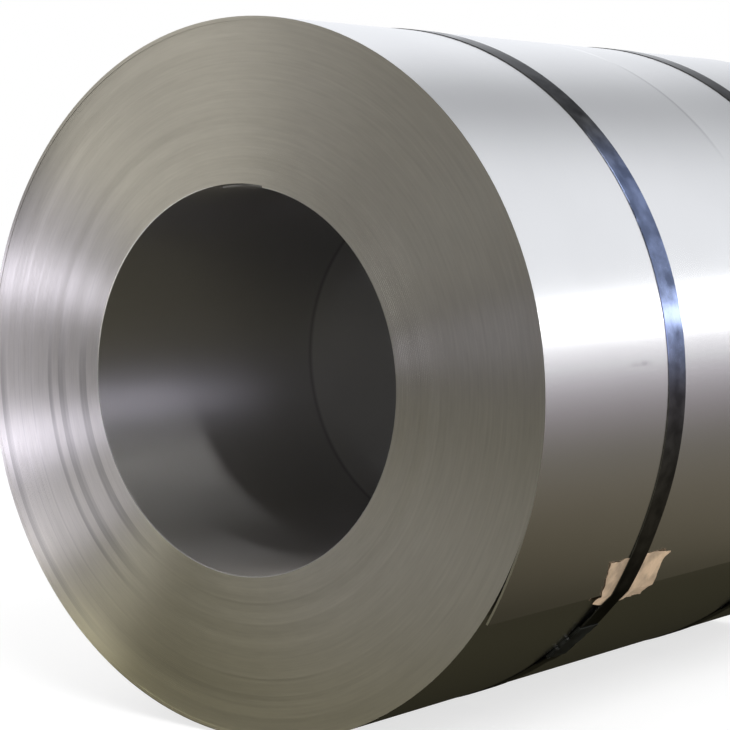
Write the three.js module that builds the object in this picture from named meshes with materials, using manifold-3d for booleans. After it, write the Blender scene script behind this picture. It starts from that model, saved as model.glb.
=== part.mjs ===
// A strapped coil of cold-rolled steel strip, lying on its side with its eye level.
//
// Millimetres, +Z up. The coil's axis runs along X, its near end faces -X, and the strapping and
// the loose tail of the strip lie on the -Y side. The object stands on z = 0.
//
// Places round the coil are clock positions in degrees, as a person facing the near end reads
// them: 0 at the top, 90 towards -Y, 180 at the bottom. Every outline is drawn in the Y-Z plane
// and extruded along X.

import * as THREE from 'three';
import { mergeVertices } from 'three/addons/utils/BufferGeometryUtils.js';
import Module from 'manifold-3d';

const wasm = await Module();
wasm.setup();

// ---- Driving dimensions -------------------------------------------------------------------------

// The wound strip
const STRIP_WIDTH = 1320;
const STRIP_THICKNESS = 3;
const BORE_DIAMETER = 610;
const OUTSIDE_DIAMETER = 1125;
const FACETS = 96;

// Bands of wraps that slid along each other while winding: each stands a little in or out
const BAND_COUNT = 13;
const BAND_WANDER = 1.6;
const WANDER_PHASE = 2.4;
const WANDER_BEAT_PHASE = 1.1;
const INNER_TELESCOPE = 10;
const TELESCOPED_BANDS = 5;
const TELESCOPE_POWER = 1.4;

// The loose outer end of the strip (tail), so many facets above the one that lies on the floor,
// and its inner end (head)
const TAIL_FACET_COUNT = 14;
const TAIL_LIFT = 7;
const TAIL_LIFT_ANGLE = 17;
const HEAD_ANGLE = -6;
const HEAD_LIFT = 2.5;
const HEAD_LIFT_ANGLE = 16;
const LIFT_POWER = 1.5;

// Steel strapping and its crimped seals, whose middle lies this far round from the tail's edge
const STRAP_WIDTH = 50.8;
const STRAP_THICKNESS = 1.3;
const NEAR_STRAP_INSET = 366;
const FAR_STRAP_INSET = 348;
const STRAP_END_LAP = 130;
const STRAP_RAMP = 49;
const SEAL_BELOW_TAIL = 121;
const SEAL_LENGTH = 82;
const SEAL_THICKNESS = 1.2;
const SEAL_FLANGE = 14;
const CRIMP_COUNT = 2;
const CRIMP_LENGTH = 9;
const CRIMP_DEPTH = 5;

// The patch of tape that holds the tail down, under the near strap
const TAPE_WIDTH = 182;
const TAPE_OFFSET = 18;
const TAPE_ABOVE_TAIL = 70;
const TAPE_BELOW_TAIL = 38;
const TAPE_SKEW = 30;
const TAPE_THICKNESS = 0.6;
const TAPE_WAIST = 15;
const TAPE_CURL = 9;
const TAPE_CURL_WIDTH = 46;
const TAPE_CURL_POWER = 3;
const TAPE_COLUMNS = 8;

// Pieces that touch keep this gap
const CLEARANCE = 0.3;

// Outline points nearer than this, in degrees, count as one, and shares may be this far out
const SAME_PLACE = 0.2;
const ROUNDING = 1e-9;
const WELD_DISTANCE = 1e-4;

// ---- Worked-out values --------------------------------------------------------------------------

const DEGREE = Math.PI / 180;
const FACET_ANGLE = 360 / FACETS;
const TAIL_CLOCK = 180 - (TAIL_FACET_COUNT + 0.5) * FACET_ANGLE;
const OUTER_RADIUS = (OUTSIDE_DIAMETER - STRIP_THICKNESS) / 2;
const BORE_RADIUS = (BORE_DIAMETER - STRIP_THICKNESS) / 2;
const BAND_DEPTH = (OUTER_RADIUS - BORE_RADIUS) / BAND_COUNT;
const NEAR_STRAP_X = -STRIP_WIDTH / 2 + NEAR_STRAP_INSET;
const FAR_STRAP_X = STRIP_WIDTH / 2 - FAR_STRAP_INSET;

/** Angle in degrees that a length covers on the coil's outside. */
function arcAngle(length) {
  return length / OUTER_RADIUS / DEGREE;
}

const RAMP_ANGLE = arcAngle(STRAP_RAMP);
const SEAL_CLOCK = TAIL_CLOCK + arcAngle(SEAL_BELOW_TAIL);
const SEAL_FROM = SEAL_CLOCK - arcAngle(SEAL_LENGTH / 2);
const SEAL_TO = SEAL_CLOCK + arcAngle(SEAL_LENGTH / 2);
const TAPE_FROM = TAIL_CLOCK - arcAngle(TAPE_ABOVE_TAIL);
const TAPE_TO = TAIL_CLOCK + arcAngle(TAPE_BELOW_TAIL);

// ---- Small helpers ------------------------------------------------------------------------------

/** Point of the Y-Z plane at a radius and clock position. */
function onClock(radius, clock) {
  return new THREE.Vector2(-radius * Math.sin(clock * DEGREE), radius * Math.cos(clock * DEGREE));
}

/** An angle brought into 0..360. */
function wrapAngle(angle) {
  return ((angle % 360) + 360) % 360;
}

/** 0 before start, 1 after end, smooth between. */
function ease(value, start, end) {
  return THREE.MathUtils.smoothstep(value, start, end);
}

/** Turns a shape drawn in the Y-Z plane into a geometry that spans x0..x1. */
function extrudeAlongX(shape, x0, x1) {
  const geometry = new THREE.ExtrudeGeometry(shape, { depth: x1 - x0, bevelEnabled: false });
  const axes = new THREE.Matrix4().makeBasis(
    new THREE.Vector3(0, 1, 0),
    new THREE.Vector3(0, 0, 1),
    new THREE.Vector3(1, 0, 0),
  );
  geometry.applyMatrix4(axes);
  geometry.translate(x0, 0, 0);
  return geometry;
}

/** Closed mesh to manifold-3d solid. */
function toSolid(geometry) {
  const bare = geometry.clone();
  bare.deleteAttribute('normal');
  bare.deleteAttribute('uv');
  const merged = mergeVertices(bare, WELD_DISTANCE);
  return new wasm.Manifold(new wasm.Mesh({
    numProp: 3,
    vertProperties: new Float32Array(merged.attributes.position.array),
    triVerts: new Uint32Array(merged.index.array),
  }));
}

/** manifold-3d solid back to a three.js geometry. */
function toGeometry(solid) {
  const mesh = solid.getMesh();
  const geometry = new THREE.BufferGeometry();
  geometry.setAttribute('position', new THREE.BufferAttribute(new Float32Array(mesh.vertProperties), 3));
  geometry.setIndex(new THREE.BufferAttribute(new Uint32Array(mesh.triVerts), 1));
  geometry.computeVertexNormals();
  return geometry;
}

// ---- The wound strip ----------------------------------------------------------------------------

/** Radius of the outside after turning clockwise from the tail by an angle of 0..360. */
function outerSpiral(turned) {
  return OUTER_RADIUS + STRIP_THICKNESS * turned / 360;
}

/** How far the outermost wrap has sprung off the wrap under it. */
function tailLift(turned) {
  return TAIL_LIFT * ease(turned, 360 - TAIL_LIFT_ANGLE, 360) ** LIFT_POWER;
}

/** Radius of the bore after turning clockwise from the head by an angle of 0..360. */
function boreSpiral(turned) {
  return BORE_RADIUS + STRIP_THICKNESS * turned / 360;
}

/** How far the innermost wrap's end has sprung into the eye. */
function headLift(turned) {
  return HEAD_LIFT * (1 - ease(turned, 0, HEAD_LIFT_ANGLE)) ** LIFT_POWER;
}

/** Outline of the outside: one turn of spiral, the tail's tip, and the slit behind the tail. */
function outsideOutline() {
  const points = [];
  for (let i = 0; i <= FACETS; i += 1) {
    const turned = i * FACET_ANGLE;
    points.push(onClock(outerSpiral(turned) + tailLift(turned), TAIL_CLOCK + turned));
  }
  const slitFacets = Math.floor(TAIL_LIFT_ANGLE / FACET_ANGLE);
  for (let i = 0; i < slitFacets; i += 1) {
    const turned = 360 - i * FACET_ANGLE;
    const underside = outerSpiral(turned) + tailLift(turned) - STRIP_THICKNESS;
    points.push(onClock(underside, TAIL_CLOCK + turned));
  }
  for (let i = slitFacets; i > 0; i -= 1) {
    const turned = 360 - i * FACET_ANGLE;
    points.push(onClock(outerSpiral(turned) - STRIP_THICKNESS, TAIL_CLOCK + turned));
  }
  return points;
}

/** Outline of the eye: one turn of spiral, the head's tip, and the slit behind the head. */
function eyeOutline() {
  const points = [];
  for (let i = 0; i <= FACETS; i += 1) {
    const turned = i * FACET_ANGLE;
    points.push(onClock(boreSpiral(turned) - headLift(turned), HEAD_ANGLE + turned));
  }
  const slitFacets = Math.floor(HEAD_LIFT_ANGLE / FACET_ANGLE);
  for (let i = 1; i <= slitFacets; i += 1) {
    const turned = i * FACET_ANGLE;
    points.push(onClock(boreSpiral(turned) + STRIP_THICKNESS, HEAD_ANGLE + turned));
  }
  for (let i = slitFacets - 1; i >= 0; i -= 1) {
    const turned = i * FACET_ANGLE;
    const topside = boreSpiral(turned) - headLift(turned) + STRIP_THICKNESS;
    points.push(onClock(topside, HEAD_ANGLE + turned));
  }
  return points;
}

/** How far a band of wraps stands out of the near end; the far end has it the other way round. */
function bandShift(band) {
  const wander = BAND_WANDER * Math.sin(band * WANDER_PHASE) * Math.cos(band * WANDER_BEAT_PHASE);
  const telescope = INNER_TELESCOPE * Math.max(0, 1 - band / TELESCOPED_BANDS) ** TELESCOPE_POWER;
  return wander + telescope;
}

// The coil is cut from a blank this long each way
const BLANK_HALF_LENGTH = STRIP_WIDTH / 2 + INNER_TELESCOPE + 2 * BAND_WANDER;

/** Ring that faces one end of the coil down to its bands; side is -1 for the near end. */
function endCutter(side) {
  const backX = side * (BLANK_HALF_LENGTH + BAND_DEPTH);
  const face = [];
  for (let band = 0; band < BAND_COUNT; band += 1) {
    const x = side * STRIP_WIDTH / 2 - bandShift(band);
    const inner = BORE_RADIUS + (band === 0 ? -1 : band) * BAND_DEPTH;
    const outer = BORE_RADIUS + (band === BAND_COUNT - 1 ? BAND_COUNT + 1 : band + 1) * BAND_DEPTH;
    face.push(new THREE.Vector2(inner, x), new THREE.Vector2(outer, x));
  }
  const inside = face[0].x;
  const outside = face[face.length - 1].x;
  const loop = [...face, new THREE.Vector2(outside, backX), new THREE.Vector2(inside, backX)];
  if (side < 0) loop.reverse();
  loop.push(loop[0].clone());
  const ring = new THREE.LatheGeometry(loop, FACETS);
  ring.rotateZ(-Math.PI / 2);
  return ring;
}

function coilGeometry() {
  const shape = new THREE.Shape(outsideOutline());
  shape.holes.push(new THREE.Path(eyeOutline()));
  let coil = toSolid(extrudeAlongX(shape, -BLANK_HALF_LENGTH, BLANK_HALF_LENGTH));
  for (const side of [-1, 1]) {
    coil = coil.subtract(toSolid(endCutter(side)));
  }
  return toGeometry(coil);
}

// ---- What the straps and the tape lie on --------------------------------------------------------

/** Convex outline that taut strapping takes over the coil, counter-clockwise in the Y-Z plane. */
function tautOutline(points) {
  const sorted = [...points].sort((a, b) => a.x - b.x || a.y - b.y);
  const turn = (a, b, c) => (b.x - a.x) * (c.y - a.y) - (b.y - a.y) * (c.x - a.x);
  const half = (list) => {
    const chain = [];
    for (const point of list) {
      while (chain.length > 1 && turn(chain.at(-2), chain.at(-1), point) <= 0) chain.pop();
      chain.push(point);
    }
    return chain.slice(0, -1);
  };
  return [...half(sorted), ...half(sorted.reverse())];
}

const TAUT = tautOutline(outsideOutline());

/** Radius of the taut outline at a clock position. */
function tautRadius(clock) {
  const ray = onClock(1, clock);
  for (let i = 0; i < TAUT.length; i += 1) {
    const a = TAUT[i];
    const b = TAUT[(i + 1) % TAUT.length];
    const edge = b.clone().sub(a);
    const cross = ray.x * edge.y - ray.y * edge.x;
    const along = (a.x * edge.y - a.y * edge.x) / cross;
    const share = (a.x * ray.y - a.y * ray.x) / cross;
    if (along > 0 && share >= -ROUNDING && share <= 1 + ROUNDING) return along;
  }
  throw new Error('the taut outline is open');
}

/** Clock positions of the taut outline's corners between two clock positions. */
function tautCorners(from, to) {
  const corners = [];
  for (const point of TAUT) {
    const clock = Math.atan2(-point.x, point.y) / DEGREE;
    for (let turns = -1; turns <= 2; turns += 1) {
      const shifted = wrapAngle(clock) + 360 * turns;
      if (shifted > from + SAME_PLACE && shifted < to - SAME_PLACE) corners.push(shifted);
    }
  }
  return corners.sort((a, b) => a - b);
}

// ---- Strapping ----------------------------------------------------------------------------------

/** Radius of what a strap is drawn down on: the taut outline, or the tape where it lies between. */
function bedRadius(clock, overTape) {
  const place = wrapAngle(clock);
  const onTape = overTape && place > TAPE_FROM && place < TAPE_TO;
  return tautRadius(clock) + (onTape ? CLEARANCE + TAPE_THICKNESS : 0);
}

/** How far the bed bulges above the straight line between the seal's two ends. */
function sealSag(overTape) {
  const start = onClock(bedRadius(SEAL_FROM, overTape), SEAL_FROM);
  const end = onClock(bedRadius(SEAL_TO, overTape), SEAL_TO);
  const chord = end.clone().sub(start).normalize();
  const out = new THREE.Vector2(chord.y, -chord.x);
  if (out.dot(start) < 0) out.negate();
  const places = [...tautCorners(SEAL_FROM, SEAL_TO)];
  for (const edge of [TAPE_FROM + SAME_PLACE, TAPE_TO - SAME_PLACE]) {
    if (edge > SEAL_FROM && edge < SEAL_TO) places.push(edge);
  }
  return Math.max(0, ...places.map((clock) => (
    onClock(bedRadius(clock, overTape), clock).sub(start).dot(out)
  )));
}

/** How far the strap's underside is held off the taut outline, by the tape and by its seal. */
function strapLift(clock, overTape) {
  const place = wrapAngle(clock);
  const sealRise = SEAL_THICKNESS + CLEARANCE + sealSag(overTape);
  const beforeSeal = ease(place, SEAL_FROM - RAMP_ANGLE, SEAL_FROM);
  const afterSeal = ease(place, SEAL_TO, SEAL_TO + RAMP_ANGLE);
  const seal = sealRise * (beforeSeal - afterSeal);
  if (!overTape) return CLEARANCE + seal;
  const beforeTape = ease(place, TAPE_FROM - RAMP_ANGLE, TAPE_FROM);
  const afterTape = ease(place, TAPE_TO, TAPE_TO + RAMP_ANGLE);
  return CLEARANCE + seal + (TAPE_THICKNESS + CLEARANCE) * (beforeTape - afterTape);
}

/** Strap from its lower end, once round, to its upper end that laps over the lower one. */
function strapGeometry(overTape) {
  const lap = arcAngle(STRAP_END_LAP);
  const start = SEAL_CLOCK - lap / 2;
  const end = start + 360 + lap;
  const bends = [
    SEAL_FROM - RAMP_ANGLE, SEAL_FROM - RAMP_ANGLE / 2, SEAL_FROM,
    SEAL_TO, SEAL_TO + RAMP_ANGLE / 2, SEAL_TO + RAMP_ANGLE,
  ];
  if (overTape) bends.push(TAPE_FROM - RAMP_ANGLE, TAPE_FROM, TAPE_TO, TAPE_TO + RAMP_ANGLE);
  // The strap is straight inside its seal
  const isBend = (clock) => {
    const place = wrapAngle(clock);
    const inSeal = place > SEAL_FROM + SAME_PLACE && place < SEAL_TO - SAME_PLACE;
    return clock > start + SAME_PLACE && clock < end - SAME_PLACE && !inSeal;
  };
  const fixed = [start, end, ...[...bends, ...bends.map((bend) => bend + 360)].filter(isBend)];
  const corners = tautCorners(start, end)
    .filter((clock) => isBend(clock) && fixed.every((place) => Math.abs(place - clock) > SAME_PLACE));
  const places = [...fixed, ...corners].sort((a, b) => a - b);
  const under = places.map((clock) => {
    const upper = (STRAP_THICKNESS + CLEARANCE) * ease(clock, start + 360 - RAMP_ANGLE, start + 360);
    return tautRadius(clock) + strapLift(clock, overTape) + upper;
  });
  const inner = places.map((clock, i) => onClock(under[i], clock));
  const outer = places.map((clock, i) => onClock(under[i] + STRAP_THICKNESS, clock));
  const shape = new THREE.Shape([...inner, ...outer.reverse()]);
  return extrudeAlongX(shape, -STRAP_WIDTH / 2, STRAP_WIDTH / 2);
}

/** Folded sleeve with its two lips under the strap's edges, notched where the crimper bit. */
function sealGeometry(overTape) {
  const start = onClock(tautRadius(SEAL_FROM) + strapLift(SEAL_FROM, overTape), SEAL_FROM);
  const end = onClock(tautRadius(SEAL_TO) + strapLift(SEAL_TO, overTape), SEAL_TO);
  const along = end.clone().sub(start).normalize();
  const out = onClock(1, SEAL_CLOCK);
  out.sub(along.clone().multiplyScalar(out.dot(along))).normalize();

  const half = STRAP_WIDTH / 2 + CLEARANCE;
  const stack = 2 * STRAP_THICKNESS + CLEARANCE;
  const low = -CLEARANCE;
  const high = stack + CLEARANCE;
  const wall = SEAL_THICKNESS;
  const section = new THREE.Shape([
    new THREE.Vector2(-half - wall, low - wall),
    new THREE.Vector2(-half + SEAL_FLANGE, low - wall),
    new THREE.Vector2(-half + SEAL_FLANGE, low),
    new THREE.Vector2(-half, low),
    new THREE.Vector2(-half, high),
    new THREE.Vector2(half, high),
    new THREE.Vector2(half, low),
    new THREE.Vector2(half - SEAL_FLANGE, low),
    new THREE.Vector2(half - SEAL_FLANGE, low - wall),
    new THREE.Vector2(half + wall, low - wall),
    new THREE.Vector2(half + wall, high + wall),
    new THREE.Vector2(-half - wall, high + wall),
  ]);
  const sleeve = new THREE.ExtrudeGeometry(section, { depth: SEAL_LENGTH, bevelEnabled: false });
  let seal = toSolid(sleeve);
  for (const side of [-1, 1]) {
    for (let i = 1; i <= CRIMP_COUNT; i += 1) {
      const middle = SEAL_LENGTH * i / (CRIMP_COUNT + 1);
      const bite = new THREE.Shape([
        new THREE.Vector2(middle - CRIMP_LENGTH / 2, wall),
        new THREE.Vector2(middle, -CRIMP_DEPTH),
        new THREE.Vector2(middle + CRIMP_LENGTH / 2, wall),
      ]);
      const notch = new THREE.ExtrudeGeometry(bite, { depth: 4 * stack, bevelEnabled: false });
      notch.translate(0, 0, -2 * stack);
      // (along the strap, inwards, up) -> (up the sleeve's length, across, through its thickness)
      const axes = new THREE.Matrix4().makeBasis(
        new THREE.Vector3(0, 0, 1),
        new THREE.Vector3(side, 0, 0),
        new THREE.Vector3(0, side, 0),
      );
      notch.applyMatrix4(axes);
      notch.translate(side * (half + wall), 0, 0);
      seal = seal.subtract(toSolid(notch));
    }
  }
  const geometry = toGeometry(seal);
  const chord = start.distanceTo(end);
  const origin = start.clone().add(along.clone().multiplyScalar((chord - SEAL_LENGTH) / 2));
  const place = new THREE.Matrix4().makeBasis(
    new THREE.Vector3(1, 0, 0),
    new THREE.Vector3(0, out.x, out.y),
    new THREE.Vector3(0, along.x, along.y),
  );
  place.setPosition(0, origin.x, origin.y);
  return geometry.applyMatrix4(place);
}

// ---- Tape on the tail ---------------------------------------------------------------------------

/** Torn patch that follows the coil across the tail's edge, with one corner curled off. */
function tapeGeometry() {
  const stations = [TAPE_FROM, ...tautCorners(TAPE_FROM, TAPE_TO), TAPE_TO];
  const rows = stations.length;
  const vertices = [];
  for (const level of [0, 1]) {
    for (let row = 0; row < rows; row += 1) {
      const down = row / (rows - 1);
      const middle = TAPE_OFFSET + TAPE_SKEW * (down - 0.5);
      const width = TAPE_WIDTH - TAPE_WAIST * Math.sin(down * Math.PI);
      for (let i = 0; i <= TAPE_COLUMNS; i += 1) {
        const side = (i / TAPE_COLUMNS - 0.5) * width;
        const toCorner = Math.max(0, side - width / 2 + TAPE_CURL_WIDTH) / TAPE_CURL_WIDTH;
        const curl = TAPE_CURL * toCorner * (1 - down) ** TAPE_CURL_POWER;
        const radius = tautRadius(stations[row]) + CLEARANCE + level * TAPE_THICKNESS + curl;
        const point = onClock(radius, stations[row]);
        vertices.push(middle + side, point.x, point.y);
      }
    }
  }
  const last = TAPE_COLUMNS;
  const at = (level, row, i) => (level * rows + row) * (last + 1) + i;
  const faces = [];
  const quad = (a, b, c, d) => faces.push(a, b, c, a, c, d);
  for (let row = 0; row < rows - 1; row += 1) {
    for (let i = 0; i < last; i += 1) {
      quad(at(1, row, i), at(1, row + 1, i), at(1, row + 1, i + 1), at(1, row, i + 1));
      quad(at(0, row, i), at(0, row, i + 1), at(0, row + 1, i + 1), at(0, row + 1, i));
    }
    quad(at(0, row, 0), at(0, row + 1, 0), at(1, row + 1, 0), at(1, row, 0));
    quad(at(0, row, last), at(1, row, last), at(1, row + 1, last), at(0, row + 1, last));
  }
  for (let i = 0; i < last; i += 1) {
    quad(at(0, 0, i), at(1, 0, i), at(1, 0, i + 1), at(0, 0, i + 1));
    quad(at(0, rows - 1, i), at(0, rows - 1, i + 1), at(1, rows - 1, i + 1), at(1, rows - 1, i));
  }
  const geometry = new THREE.BufferGeometry();
  geometry.setAttribute('position', new THREE.Float32BufferAttribute(vertices, 3));
  geometry.setIndex(faces);
  geometry.computeVertexNormals();
  return geometry;
}

// ---- Materials and assembly ---------------------------------------------------------------------

const bareSteel = new THREE.MeshStandardMaterial({ color: 0xb4b2ae, roughness: 0.28, metalness: 1 });
const blackStrap = new THREE.MeshStandardMaterial({ color: 0x14171c, roughness: 0.3, metalness: 0.6 });
const sealSteel = new THREE.MeshStandardMaterial({ color: 0x1b1d20, roughness: 0.4, metalness: 0.7 });
const paperTape = new THREE.MeshStandardMaterial({ color: 0xb7a083, roughness: 0.85, metalness: 0 });

function part(name, geometry, material, x = 0) {
  const mesh = new THREE.Mesh(geometry, material);
  mesh.name = name;
  mesh.position.x = x;
  return mesh;
}

const coilAssembly = new THREE.Group();
coilAssembly.add(part('coil', coilGeometry(), bareSteel));
coilAssembly.add(part('strap_1', strapGeometry(true), blackStrap, NEAR_STRAP_X));
coilAssembly.add(part('strap_2', strapGeometry(false), blackStrap, FAR_STRAP_X));
coilAssembly.add(part('strap_seal_1', sealGeometry(true), sealSteel, NEAR_STRAP_X));
coilAssembly.add(part('strap_seal_2', sealGeometry(false), sealSteel, FAR_STRAP_X));
coilAssembly.add(part('tail_tape', tapeGeometry(), paperTape, NEAR_STRAP_X));

// Stand the whole on z = 0 with its box centred on the origin
const box = new THREE.Box3().setFromObject(coilAssembly);
const centre = box.getCenter(new THREE.Vector3());
coilAssembly.position.set(-centre.x, -centre.y, -box.min.z);

export default coilAssembly;
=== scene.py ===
"""Looks of a strapped steel coil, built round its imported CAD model.

Metres, +Z up. The coil's axis runs along X and its near end faces -X. Clock positions are degrees
as a person facing the near end reads them: 0 at the top, 90 towards -Y.
"""

import math

import bpy
import numpy as np
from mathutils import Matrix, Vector


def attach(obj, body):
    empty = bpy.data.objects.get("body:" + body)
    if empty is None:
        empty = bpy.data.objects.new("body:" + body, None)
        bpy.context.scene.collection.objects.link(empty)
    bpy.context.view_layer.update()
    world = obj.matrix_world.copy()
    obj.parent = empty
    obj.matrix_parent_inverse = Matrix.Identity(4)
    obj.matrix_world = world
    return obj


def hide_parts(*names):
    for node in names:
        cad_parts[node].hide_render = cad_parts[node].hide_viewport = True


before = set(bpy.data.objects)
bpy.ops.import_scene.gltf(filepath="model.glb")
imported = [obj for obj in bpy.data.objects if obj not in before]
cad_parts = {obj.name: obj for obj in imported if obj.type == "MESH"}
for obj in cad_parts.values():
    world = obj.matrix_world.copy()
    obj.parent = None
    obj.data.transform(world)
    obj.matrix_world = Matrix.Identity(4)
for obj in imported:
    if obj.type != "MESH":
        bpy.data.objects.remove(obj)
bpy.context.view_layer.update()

# ---- Sizes, as the CAD source has them ----

MM = 0.001
AXIS_X = 4.68 * MM
AXIS_Y = 0.75 * MM
AXIS_Z = 562.75 * MM
STRIP_WIDTH = 1320 * MM
STRIP = 3 * MM
BORE_R = 303.5 * MM
OUTER_R = 561 * MM
FACET = 3.75
TAIL_FACET_COUNT = 14
TAIL_CLOCK = 180 - (TAIL_FACET_COUNT + 0.5) * FACET
TAIL_LIFT = 7 * MM
TAIL_SPRING_ANGLE = 17
HEAD_CLOCK = -6
HEAD_LIFT = 2.5 * MM
HEAD_LIFT_ANGLE = 16
LIFT_POWER = 1.5
BAND_COUNT = 13
BAND_WANDER = 1.6 * MM
WANDER_PHASE = 2.4
WANDER_BEAT_PHASE = 1.1
INNER_TELESCOPE = 10 * MM
TELESCOPED_BANDS = 5
TELESCOPE_POWER = 1.4
STRAP_WIDTH = 50.8 * MM
STRAP_THICKNESS = 1.3 * MM
NEAR_STRAP_INSET = 366 * MM
FAR_STRAP_INSET = 348 * MM
NEAR_STRAP_X = -STRIP_WIDTH / 2 + NEAR_STRAP_INSET
FAR_STRAP_X = STRIP_WIDTH / 2 - FAR_STRAP_INSET
STRAP_END_LAP = 130 * MM
STRAP_RAMP = 49 * MM
SEAL_BELOW_TAIL = 121 * MM
SEAL_LENGTH = 82 * MM
SEAL_THICKNESS = 1.2 * MM
SEAL_FLANGE = 14 * MM
TAPE_WIDTH = 182 * MM
TAPE_OFFSET = 18 * MM
TAPE_ABOVE_TAIL = 70 * MM
TAPE_BELOW_TAIL = 38 * MM
TAPE_SKEW = 30 * MM
TAPE_WAIST = 15 * MM
TAPE_CURL_WIDTH = 46 * MM
CRIMP_COUNT = 2
CRIMP_LENGTH = 9 * MM
CRIMP_DEPTH = 5 * MM

# ---- Camera ----

CAMERA_AT = (-3.294, -2.288, 0.851)
CAMERA_YAW = 52.22
CAMERA_PITCH = -4.31
CAMERA_LENS = 111.02
CAMERA_SENSOR = 36

camera = bpy.data.objects.new("camera", bpy.data.cameras.new("camera"))
bpy.context.scene.collection.objects.link(camera)
camera.data.sensor_width = CAMERA_SENSOR
camera.data.lens = CAMERA_LENS
camera.location = CAMERA_AT
camera.rotation_euler = (math.radians(90 + CAMERA_PITCH), 0, math.radians(-CAMERA_YAW))
bpy.context.scene.camera = camera

# ---- Helpers ----

# Degrees between two faces past which their edge is sharp
COIL_SHARP = 8
STRAP_SHARP = 28
TAPE_SHARP = 50


def ease(value, start, end):
    """0 before start, 1 after end, smooth between."""
    t = np.clip((np.asarray(value, float) - start) / (end - start), 0, 1)
    return t * t * (3 - 2 * t)


def place(x, radius, clock):
    """World point at a place along the axis from the strip's middle, a radius and a clock position."""
    a = np.radians(clock)
    x, y, z = AXIS_X + x, AXIS_Y - radius * np.sin(a), AXIS_Z + radius * np.cos(a)
    return np.stack(np.broadcast_arrays(x, y, z), -1)


def arc_angle(length):
    return math.degrees(length / OUTER_R)


def make_object(name, vertices, faces, materials, face_material=None, sharp=None):
    """A smooth-shaded mesh in the scene, with sharp edges past an angle in degrees if one is given."""
    mesh = bpy.data.meshes.new(name)
    mesh.from_pydata([tuple(v) for v in vertices], [], [tuple(int(i) for i in f) for f in faces])
    for material in materials:
        mesh.materials.append(material)
    if face_material is not None:
        mesh.polygons.foreach_set("material_index", np.asarray(face_material, np.int32))
    mesh.polygons.foreach_set("use_smooth", np.full(len(mesh.polygons), True))
    mesh.update()
    if sharp is not None:
        mesh.set_sharp_from_angle(angle=math.radians(sharp))
    mesh.validate()
    piece = bpy.data.objects.new(name, mesh)
    bpy.context.scene.collection.objects.link(piece)
    return piece


def dress(name, vertices, faces, materials, slot, **options):
    """A piece of the object that stands for the CAD node of nearly the same name."""
    piece = make_object(name + "_look", vertices, faces, materials, **options)
    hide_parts(name)
    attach(piece, "root")
    return piece


# ---- Node helpers ----


class Nodes:
    """Short calls for building the nodes of a material or the world."""

    def __init__(self, owner, output="OutputMaterial"):
        owner.use_nodes = True
        self.owner = owner
        self.tree = owner.node_tree
        self.tree.nodes.clear()
        self.output = self.add(output)

    def add(self, kind, inputs=None, **settings):
        node = self.tree.nodes.new("ShaderNode" + kind)
        for key, value in settings.items():
            setattr(node, key, value)
        for key, value in (inputs or {}).items():
            self.feed(node.inputs[key], value)
        return node

    def feed(self, socket, value):
        if isinstance(value, bpy.types.NodeSocket):
            self.tree.links.new(value, socket)
        else:
            socket.default_value = value

    def surface(self, shader):
        """What the nodes belong to, with this shader as its surface."""
        self.feed(self.output.inputs[0], shader.outputs[0])
        return self.owner

    def math(self, operation, a, b=0.0):
        return self.add("Math", {0: a, 1: b}, operation=operation).outputs[0]

    def plus(self, a, b):
        return self.math("ADD", a, b)

    def minus(self, a, b):
        return self.math("SUBTRACT", a, b)

    def times(self, a, b):
        return self.math("MULTIPLY", a, b)

    def ramp(self, value, first, last):
        """Colour that runs between two stops of position and colour."""
        node = self.add("ValToRGB", {0: value})
        for element, (position, colour) in zip(node.color_ramp.elements, (first, last)):
            element.position = position
            element.color = (*colour, 1)
        return node.outputs[0]

    def range(self, value, a, b, c, d, smooth=False):
        """The value's way from a to b as a way from c to d."""
        kind = "SMOOTHSTEP" if smooth else "LINEAR"
        return self.add("MapRange", {0: value, 1: a, 2: b, 3: c, 4: d}, interpolation_type=kind).outputs[0]

    def window(self, value, rise, fall, low=0.0):
        """1 between two soft edges, low beyond both."""
        risen = self.range(value, *rise, low, 1.0, True)
        return self.times(risen, self.range(value, *fall, 1.0, low, True))

    def noise(self, at, scale, detail, roughness=0.5):
        inputs = {"Vector": at, "Scale": scale, "Detail": detail, "Roughness": roughness}
        return self.add("TexNoise", inputs).outputs[0]

    def noise_along(self, value, scale, detail):
        inputs = {"W": value, "Scale": scale, "Detail": detail}
        return self.add("TexNoise", inputs, noise_dimensions="1D").outputs[0]

    def shaded(self, colour, level):
        """A plain colour times a level."""
        grey = self.add("CombineColor", {0: level, 1: level, 2: level}).outputs[0]
        return self.mix(1.0, (*colour, 1), grey, "MULTIPLY")

    def mix(self, factor, a, b, blend="MIX"):
        node = self.add("Mix", data_type="RGBA", blend_type=blend)
        self.feed(node.inputs[0], factor)
        self.feed(node.inputs[6], a)
        self.feed(node.inputs[7], b)
        return node.outputs[2]


# ---- Materials ----

# Noise mostly lies between the first two values; the other pairs are narrower parts of that
NOISE = (0.3, 0.7)
CLOUD_NOISE = (0.36, 0.64)
BAND_NOISE = (0.35, 0.65)
GRAIN_NOISE = (0.4, 0.6)

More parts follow.
